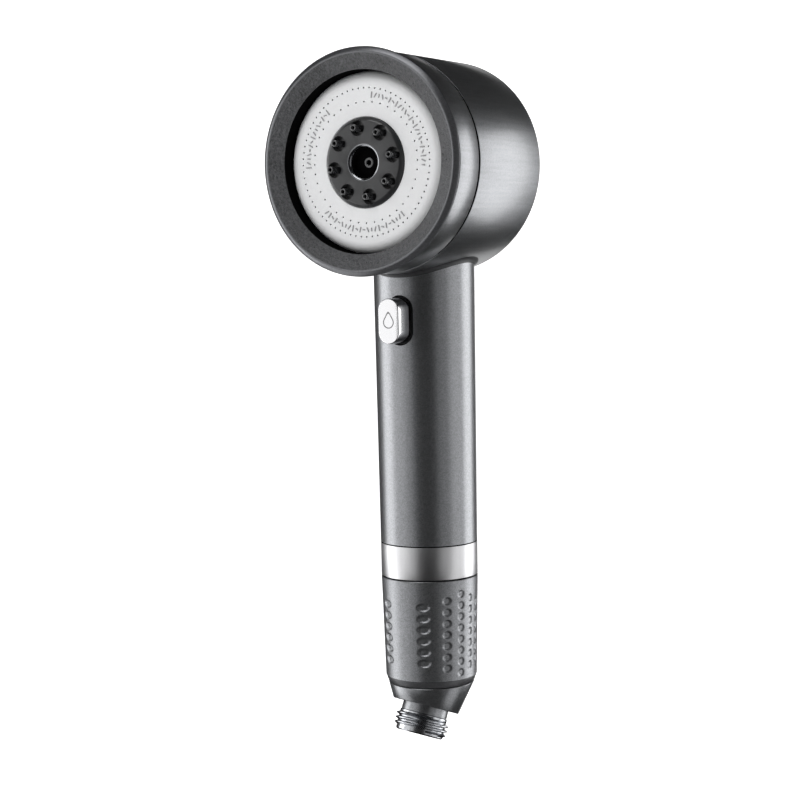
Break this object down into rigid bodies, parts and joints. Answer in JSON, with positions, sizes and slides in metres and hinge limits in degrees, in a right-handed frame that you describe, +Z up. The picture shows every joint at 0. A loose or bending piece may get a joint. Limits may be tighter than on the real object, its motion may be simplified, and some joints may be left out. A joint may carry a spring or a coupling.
{
  "type": "handheld shower head",
  "caption": "Handheld shower head with a drum-shaped turning spray face, a straight handle with a stop button, a filter grip and a swivelling threaded inlet elbow",
  "frame": {"origin": "on the handle's axis, at the seam between the handle and the trim ring below it", "axes": "+Z up the handle to the drum, -Y the way the spray leaves the face, +X to the right when looking at the spray face"},
  "size_m": [0.0826, 0.0672, 0.2643],
  "materials": {
    "gunmetal": "satin metallic gunmetal coat with fine flake",
    "rim_grey": "fine sanded dark grey, slightly metallic",
    "grip_grey": "matte metallic grey with fine flake",
    "dark_trim": "dark grey moulded plastic",
    "satin_silver": "satin silver plating",
    "bright_chrome": "bright chrome plating",
    "black_seal": "black rubber",
    "pale_plate": "pale grey satin plastic",
    "insert_dark": "dark grey gloss plastic",
    "nozzle_rubber": "dark silicone",
    "jet_metal": "dark moulded plastic",
    "inner_plastic": "natural moulded acetal",
    "seal_rubber": "black rubber",
    "steel": "stainless steel",
    "filter_white": "wound white filter fibre",
    "filter_plastic": "translucent white plastic"
  },
  "bodies": {
    "head": {"housing": "gunmetal", "front_collar": "gunmetal", "manifold": "inner_plastic", "manifold_screws": "steel", "valve_seat": "inner_plastic", "port_seals": "seal_rubber", "dial_oring": "seal_rubber", "centre_jet": "jet_metal", "lower_tube": "inner_plastic", "upper_tube": "inner_plastic", "tube_orings": "seal_rubber", "stop_valve_body": "inner_plastic", "button_bezel": "black_seal", "coupling": "inner_plastic", "coupling_oring": "seal_rubber", "trim_ring": "satin_silver", "detent_spring": "steel", "button_spring": "steel"},
    "dial": {"dial_ring": "rim_grey", "spray_plate": "pale_plate", "nozzle_insert": "insert_dark", "nozzle_mat": "nozzle_rubber", "diverter_disc": "inner_plastic"},
    "button": {"button": "bright_chrome", "valve_spool": "inner_plastic", "spool_orings": "seal_rubber"},
    "detent": {"detent_ball": "steel"},
    "filter": {"filter_core": "filter_white", "filter_sleeve": "filter_plastic", "filter_top_cap": "filter_plastic", "filter_bottom_cap": "filter_plastic"},
    "grip": {"filter_grip": "grip_grey", "grip_end_ring": "dark_trim"},
    "inlet": {"inlet_elbow": "gunmetal", "swivel_clip": "steel", "swivel_oring": "seal_rubber", "inlet_screen": "steel", "flow_restrictor": "filter_plastic"}
  },
  "joints": [
    {"name": "dial_turn", "type": "hinge", "parent": "head", "child": "dial", "pos_m": [0, 0, 0.144], "axis": [0, 1, 0], "range_deg": [-120, 120]},
    {"name": "button_press", "type": "slide", "parent": "head", "child": "button", "axis": [0, 1, 0], "range_m": [0, 0.003], "stiffness_N_per_m": 900, "springref_m": -0.002, "deforming": ["button_spring"]},
    {"name": "detent_drop", "type": "slide", "parent": "head", "child": "detent", "axis": [0, -1, 0], "range_m": [0, 0.0007], "deforming": ["detent_spring"]},
    {"name": "filter_drop", "type": "slide", "parent": "head", "child": "filter", "axis": [0, 0, -1], "range_m": [0, 0.0105]},
    {"name": "grip_unscrew", "type": "hinge", "parent": "filter", "child": "grip", "pos_m": [0, 0, -0.03], "axis": [0, 0, 1], "range_deg": [0, 1260]},
    {"name": "inlet_swivel", "type": "hinge", "parent": "grip", "child": "inlet", "pos_m": [0, 0, -0.055], "axis": [0, 0, 1], "continuous": true}
  ],
  "couplings": [
    {"joint": "grip_unscrew", "follows": "filter_drop", "rad_per_m": 2094.4}
  ]
}
